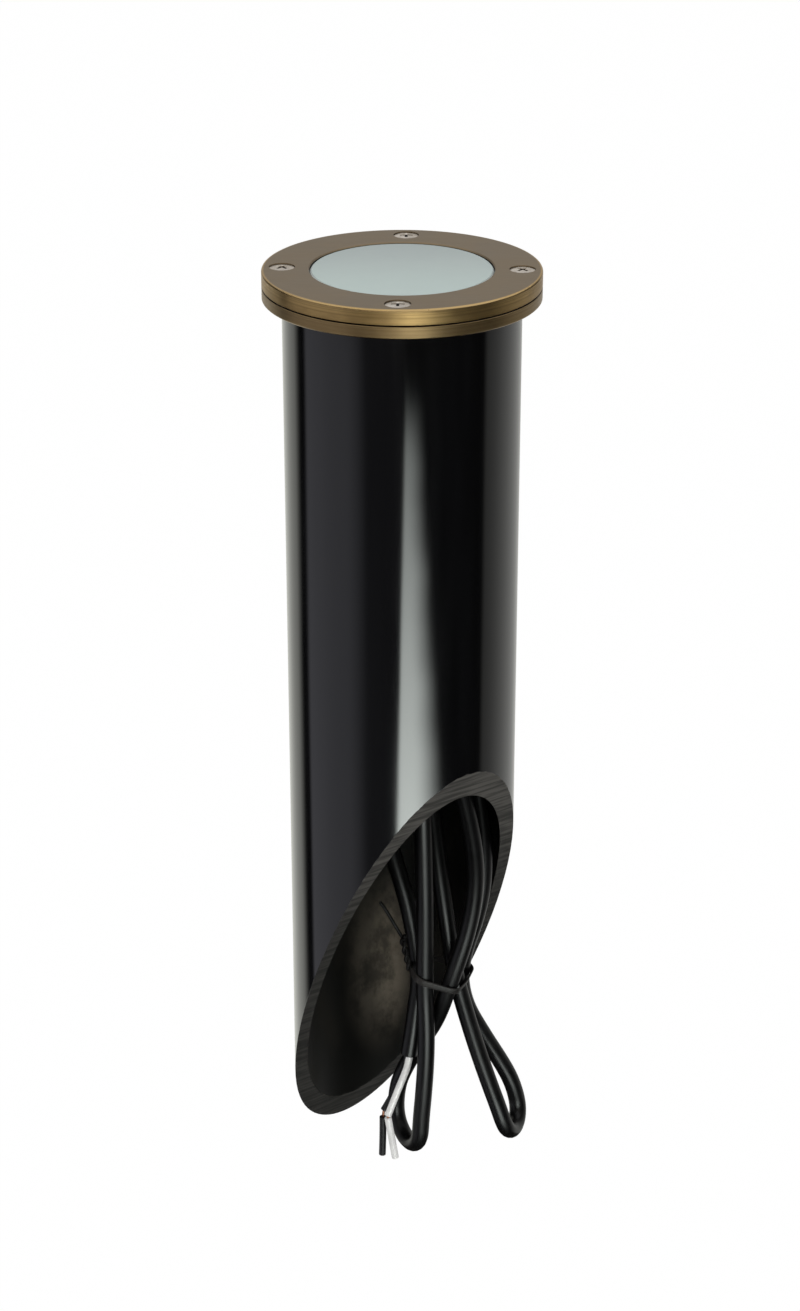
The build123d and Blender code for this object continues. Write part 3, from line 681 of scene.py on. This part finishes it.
def tie_height(x, y):
    return TIE_CENTRE[2] - TIE_FALL * (x - TIE_CENTRE[0]) + TIE_DIP * (y - TIE_CENTRE[1])


def line_points(route):
    """Points along the smooth line of a route, in millimetres."""
    bare = smooth_curve("bare_line", route, 0, jacket, LINE_STEPS)
    mesh = bpy.data.meshes.new_from_object(bare)
    points = [vertex.co / MM for vertex in mesh.vertices]
    bpy.data.objects.remove(bare)
    bpy.data.meshes.remove(mesh)
    return points


def tie_rim():
    """Corners of the loop drawn tight round the passes where they cross the tie's plane."""
    points = line_points(lead_route)
    over = [point.z - tie_height(point.x, point.y) for point in points]
    rim = []
    for number in range(len(points) - 1):
        if over[number] * over[number + 1] < 0:
            share = over[number] / (over[number] - over[number + 1])
            centre = points[number].lerp(points[number + 1], share)
            for turn in range(TIE_REACH_STEPS):
                angle = 2 * pi * turn / TIE_REACH_STEPS
                x = centre.x + TIE_REACH * cos(angle)
                rim.append(Vector((x, centre.y + TIE_REACH * sin(angle))))
    return [rim[number] for number in geometry.convex_hull_2d(rim)]


def tie_outline():
    """Evenly spaced points of that loop, with its corners eased."""
    hull = tie_rim()
    sides = [(first, second, (second - first).length)
             for first, second in zip(hull, hull[1:] + hull[:1])]
    total = sum(length for _, _, length in sides)
    outline = []
    passed = 0
    for first, second, length in sides:
        while len(outline) < TIE_STEPS and len(outline) * total / TIE_STEPS <= passed + length:
            share = (len(outline) * total / TIE_STEPS - passed) / length
            outline.append(first.lerp(second, share))
        passed += length
    for _ in range(TIE_SMOOTHING):
        outline = [(outline[number - 1] + point * 2 + outline[(number + 1) % len(outline)]) / 4
                   for number, point in enumerate(outline)]
    return outline


def squared_off(part, size):
    """How far a point of the band's cross-section lies to one side, for rounded corners."""
    return copysign(abs(part) ** TIE_SQUARENESS, part) * size / 2


def tie_band():
    """The flat band of the tie, with rounded edges."""
    outline = tie_outline()
    lift = Vector((TIE_FALL, -TIE_DIP, 1)).normalized()
    build = bmesh.new()
    rings = []
    for number, point in enumerate(outline):
        along = outline[(number + 1) % len(outline)] - outline[number - 1]
        out = Vector((along.y, -along.x, 0)).normalized()
        centre = Vector((point.x, point.y, tie_height(point.x, point.y))) + out * (TIE_THICK / 2)
        section = []
        for turn in range(TIE_SIDES):
            angle = 2 * pi * (turn + 0.5) / TIE_SIDES
            wide = out * squared_off(cos(angle), TIE_THICK)
            tall = lift * squared_off(sin(angle), TIE_WIDTH)
            section.append(build.verts.new((centre + wide + tall) * MM))
        rings.append(section)
    for first, second in zip(rings, rings[1:] + rings[:1]):
        for turn in range(TIE_SIDES):
            after = (turn + 1) % TIE_SIDES
            build.faces.new((first[turn], first[after], second[after], second[turn]))
    bmesh.ops.recalc_face_normals(build, faces=build.faces)
    mesh = bpy.data.meshes.new("tie_band")
    build.to_mesh(mesh)
    build.free()
    for face in mesh.polygons:
        face.use_smooth = True
    mesh.materials.append(tie_plastic)
    return put("tie_band", mesh)


def tie_end(name, turn, onward):
    """One end of the tie, wound round the other and then running free."""
    root, tip = Vector(TWIST_ROOT), Vector(TWIST_TIP)
    axis = (tip - root).normalized()
    across = axis.cross(Vector((0, 1, 0))).normalized()
    over = axis.cross(across)
    route = []
    for step in range(TWIST_STEPS + 1):
        share = step / TWIST_STEPS
        angle = turn + radians(TWIST_TURN) * share
        out = (across * cos(angle) + over * sin(angle)) * TWIST_R
        route.append(tuple(root.lerp(tip, share) + out))
    return smooth_curve(name, metres(route + onward), WIRE_R * MM, twist_plastic)


tie = tie_band()
tie_wires = [tie_end("tie_end_long", 0, TIE_ENDS[0]), tie_end("tie_end_short", pi, TIE_ENDS[1])]

# ---------------------------------------------------------------- what the pieces stand for
PIECES = [(lead, "cable_jacket", ("cord_lead", "cord_hank")),
          (cores["white"], "core_white", ("core_white",)),
          (cores["black"], "core_black", ("core_black",)),
          (slugs["white"], "core_white", ("slug_white",)),
          (slugs["black"], "core_black", ("slug_black",)),
          (strands[0], "copper", ("bare_strands",)),
          (strands[1], "copper", ("bare_strands",)),
          (tie, "core_black", ("wire_tie",)),
          (tie_wires[0], "core_black", ("wire_tie",)),
          (tie_wires[1], "core_black", ("wire_tie",))]
for piece, slot_name, replaced in PIECES:
    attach(piece, "lamp_head")
    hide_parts(*replaced)

# ---------------------------------------------------------------- studio round the object
# in metres, with the angles in degrees from the viewer's side, positive to the right
CARD_R = 0.6
CARD_TOP = -0.165
CARD_LOW = -0.85
UPPER_TOP = 0.30
BASE_COLOUR = (0.030, 0.028, 0.026)
SKY_R = 1.2
SKY_Z = (-0.1, 1.6)
SKY_REACH = (120, 240)
SKY_COLOUR = (0.68, 0.68, 0.69)
# brightness and tint by angle, below and above CARD_TOP
WALL_LEVELS = [(-180, 0.80), (-150, 0.96), (-126, 0.82), (-116, 0.01), (-108, 0.01), (-104, 0.50),
               (-85, 0.58), (-54, 0.56), (-46, 0.40), (-36, 0.11), (-8, 0.09), (6, 0.03),
               (82, 0.02), (87, 0.34), (97, 0.42), (110, 0.58), (126, 0.68), (180, 0.68)]
WALL_TINTS = [(-180, (0.99, 1.0, 0.93)), (-117, (1.0, 1.0, 1.10)), (60, (1.0, 1.0, 0.96))]
WALL_LEAN = 2.5
LEAN_TOP = -0.22
LEAN_END = -0.40
UPPER_LEVELS = [(-180, 0.56), (-152, 0.56), (-138, 0.10), (-115, 0.08), (-111, 0.02),
                (-104, 0.02), (-100, 0.17), (-60, 0.26), (-30, 0.24), (-20, 0.60), (16, 0.62),
                (27, 0.09), (138, 0.09), (152, 0.56), (180, 0.56)]
UPPER_TINTS = [(-180, (1.0, 0.95, 0.87))]
# the bright strip; a pair with depth is its growth down the strip and its value at the top, and
# its edges are in radians
STRIP_REACH = (-18, 75)
STRIP_TOP = -0.205
STRIP_START = -0.225
STRIP_DEPTH = 0.295
STRIP_FADE = -0.535
STRIP_LEFT = (-0.18, 0.04)
STRIP_LEFT_SOFT = (0.03, 0.04)
STRIP_RIGHT = (0.46, 0.17)
STRIP_RIGHT_POWER = 1.3
STRIP_RIGHT_SOFT = 0.21
STRIP_FULL = (0.13, 0.04)
STRIP_RAGGED = 0.36
STRIP_LEVEL = (12.0, 3.0)
STRIP_LAST = 0.14
STRIP_COLOUR = (0.86, 0.92, 0.88)


def bare_material(name):
    """A material with nothing in it but its output."""
    made = bpy.data.materials.new(name)
    made.use_nodes = True
    tree = made.node_tree
    tree.nodes.clear()
    return made, tree, add(tree, "OutputMaterial").inputs[0]


def glow_material(name, colour=(1, 1, 1), strength=1.0):
    made, tree, surface = bare_material(name)
    glow = add(tree, "Emission", None, Color=(*colour, 1), Strength=strength)
    tree.links.new(glow.outputs[0], surface)
    return made, tree, glow


def finish_card(name, build, finish):
    """A piece of the studio that only reflections show."""
    mesh = bpy.data.meshes.new(name)
    build.to_mesh(mesh)
    build.free()
    mesh.materials.append(finish)
    made = put(name, mesh)
    made.visible_camera = False
    made.visible_diffuse = False
    made.visible_transmission = False
    made.visible_volume_scatter = False
    made.visible_shadow = False


def disc_card(name, height, finish):
    build = bmesh.new()
    made = bmesh.ops.create_circle(build, cap_ends=True, radius=CARD_R, segments=48)
    for corner in made["verts"]:
        corner.co.z = height
    finish_card(name, build, finish)


def card(name, heights, reach, finish, steps, radius=CARD_R):
    """A curved card round the object between two heights and two angles."""
    rows = []
    build = bmesh.new()
    for height in heights:
        row = []
        for number in range(steps + 1):
            angle = radians(mix(*reach, number / steps))
            row.append(build.verts.new((radius * sin(angle), -radius * cos(angle), height)))
        rows.append(row)
    low, high = rows
    for number in range(steps):
        build.faces.new((low[number], low[number + 1], high[number + 1], high[number]))
    finish_card(name, build, finish)


def azimuth(tree):
    """Angle round the object from the viewer's side, in radians, and height."""
    x, y, z = split(tree, place(tree))
    return maths(tree, "ARCTAN2", x, times(tree, y, -1.0)), z


def wall_glow(name, profile, tints, lean):
    """Glow that follows the profile round the object; the lean turns its upper part on the left."""
    made, tree, glow = glow_material(name)
    angle, z = azimuth(tree)
    left = maths(tree, "LESS_THAN", angle, 0.0)
    turn = times(tree, left, ramp(tree, z, LEAN_END, LEAN_TOP, 0.0, lean / 360, smooth=False))
    share = less(tree, maths(tree, "MULTIPLY_ADD", angle, 0.5 / pi, 0.5), turn)
    levels = add(tree, "ValToRGB", None, Fac=share)
    stops = levels.color_ramp.elements
    for _ in profile[2:]:
        stops.new(0.5)
    for stop, (degrees, _) in zip(stops, profile):
        stop.position = degrees / 360 + 0.5
    for stop, (degrees, level) in zip(stops, profile):
        tint = [colour for start, colour in tints if degrees >= start][-1]
        stop.color = (*(level * part for part in tint), 1)
    link(tree, levels.outputs["Color"], glow.inputs["Color"])
    return made


def strip_glow():
    """Bright strip that widens and brightens downwards, with a ragged right edge.

    It adds to what is behind it.
    """
    made, tree, glow = glow_material("strip_glow", STRIP_COLOUR)
    angle, z = azimuth(tree)
    depth = ramp(tree, z, STRIP_START, STRIP_START - STRIP_DEPTH, smooth=False)
    left = maths(tree, "MULTIPLY_ADD", depth, *STRIP_LEFT)
    right = maths(tree, "POWER", depth, STRIP_RIGHT_POWER)
    right = maths(tree, "MULTIPLY_ADD", right, *STRIP_RIGHT)
    rough_line = add(tree, "CombineXYZ", None, Z=z)
    ragged = add(tree, "TexNoise", None, Vector=rough_line.outputs[0], Scale=42.0, Detail=3.0)
    shifted = maths(tree, "MULTIPLY_ADD", ragged.outputs["Fac"], STRIP_RAGGED, -STRIP_RAGGED / 2)
    shifted = plus(tree, angle, shifted)
    rise = ramp(tree, angle, less(tree, left, STRIP_LEFT_SOFT[0]),
                plus(tree, left, STRIP_LEFT_SOFT[1]))
    fall = ramp(tree, shifted, maths(tree, "MULTIPLY_ADD", depth, *STRIP_FULL),
                plus(tree, right, STRIP_RIGHT_SOFT), 1.0, 0.0)
    level = maths(tree, "MULTIPLY_ADD", depth, *STRIP_LEVEL)
    level = times(tree, level, ramp(tree, z, STRIP_TOP, STRIP_START - 0.02))
    level = times(tree, level, ramp(tree, z, STRIP_FADE, STRIP_FADE - 0.07, 1.0, STRIP_LAST))
    link(tree, times(tree, times(tree, rise, fall), level), glow.inputs["Strength"])
    both = add(tree, "AddShader")
    tree.links.new(glow.outputs[0], both.inputs[0])
    tree.links.new(add(tree, "BsdfTransparent").outputs[0], both.inputs[1])
    tree.links.new(both.outputs[0], tree.nodes["Material Output"].inputs[0])
    return made


card("studio_wall", (CARD_LOW, CARD_TOP), (-180, 180),
     wall_glow("wall_glow", WALL_LEVELS, WALL_TINTS, WALL_LEAN), 144)
card("studio_upper", (CARD_TOP, UPPER_TOP), (-180, 180),
     wall_glow("upper_glow", UPPER_LEVELS, UPPER_TINTS, 0), 144)
card("studio_strip", (CARD_LOW, STRIP_TOP), STRIP_REACH, strip_glow(), 48, CARD_R - 0.01)
disc_card("studio_base", CARD_LOW, glow_material("dark_card", BASE_COLOUR)[0])
card("studio_sky", SKY_Z, SKY_REACH, glow_material("sky_card", SKY_COLOUR)[0], 24, SKY_R)

# ---------------------------------------------------------------- floor, lights and world
FLOOR_Z = -0.90
FLOOR_REACH = 8
FLOOR_COLOURS = ((0.80, 0.80, 0.80), (0.84, 0.84, 0.84))
FLOOR_WHITE = 0.995
WORLD_LIT = 0.55
# name, place, what it points at, size and power
LIGHTS = [("key", (-0.9, -1.1, 1.3), (0, 0, -0.1), (1.2, 1.2), 14),
          ("fill", (1.2, -0.9, 0.7), (0, 0, -0.15), (1.2, 1.2), 8),
          ("back", (0.2, 1.4, 1.2), (0, 0, -0.1), (1.6, 1.0), 8)]


def seen_rays(tree):
    """1 for what the camera, a reflection or clear glass shows, and 0 for what only lights."""
    path = add(tree, "LightPath")
    seen = maths(tree, "MAXIMUM", path.outputs["Is Camera Ray"], path.outputs["Is Glossy Ray"])
    return maths(tree, "MAXIMUM", seen, path.outputs["Is Transmission Ray"])


def floor_material():
    """Pale floor that keeps a soft shadow and reads as white to the camera."""
    made, tree, surface = bare_material("floor")
    tone = blend_colours(tree, grain(tree, place(tree), 3.0), *FLOOR_COLOURS)
    matte = add(tree, "BsdfDiffuse", None, Color=tone)
    glow = add(tree, "Emission", None, Color=(1, 1, 1, 1), Strength=1.0)
    both = add(tree, "MixShader", None, Fac=times(tree, seen_rays(tree), FLOOR_WHITE))
    tree.links.new(matte.outputs[0], both.inputs[1])
    tree.links.new(glow.outputs[0], both.inputs[2])
    tree.links.new(both.outputs[0], surface)
    return made


def softbox(name, position, target, size, power):
    """A soft light that reflections don't show."""
    data = bpy.data.lights.new(name, "AREA")
    data.shape = "RECTANGLE"
    data.size, data.size_y = size
    data.energy = power
    made = put(name, data)
    made.location = position
    aim = Vector(target) - Vector(position)
    made.rotation_euler = aim.to_track_quat("-Z", "Y").to_euler()
    made.visible_glossy = False


floor_mesh = bpy.data.meshes.new("floor")
corners = [(x * FLOOR_REACH, y * FLOOR_REACH, FLOOR_Z)
           for x, y in ((-1, -1), (1, -1), (1, 1), (-1, 1))]
floor_mesh.from_pydata(corners, [], [(0, 1, 2, 3)])
floor_mesh.materials.append(floor_material())
floor = put("floor", floor_mesh)

for light in LIGHTS:
    softbox(*light)

world = bpy.data.worlds.new("world")
bpy.context.scene.world = world
world.use_nodes = True
tree = world.node_tree
tree.nodes.clear()
strength = maths(tree, "MULTIPLY_ADD", seen_rays(tree), 1 - WORLD_LIT, WORLD_LIT)
around = add(tree, "Background", None, Color=(1, 1, 1, 1), Strength=strength)
out = add(tree, "OutputWorld")
tree.links.new(around.outputs[0], out.inputs[0])
bpy.context.scene.view_settings.view_transform = "Standard"
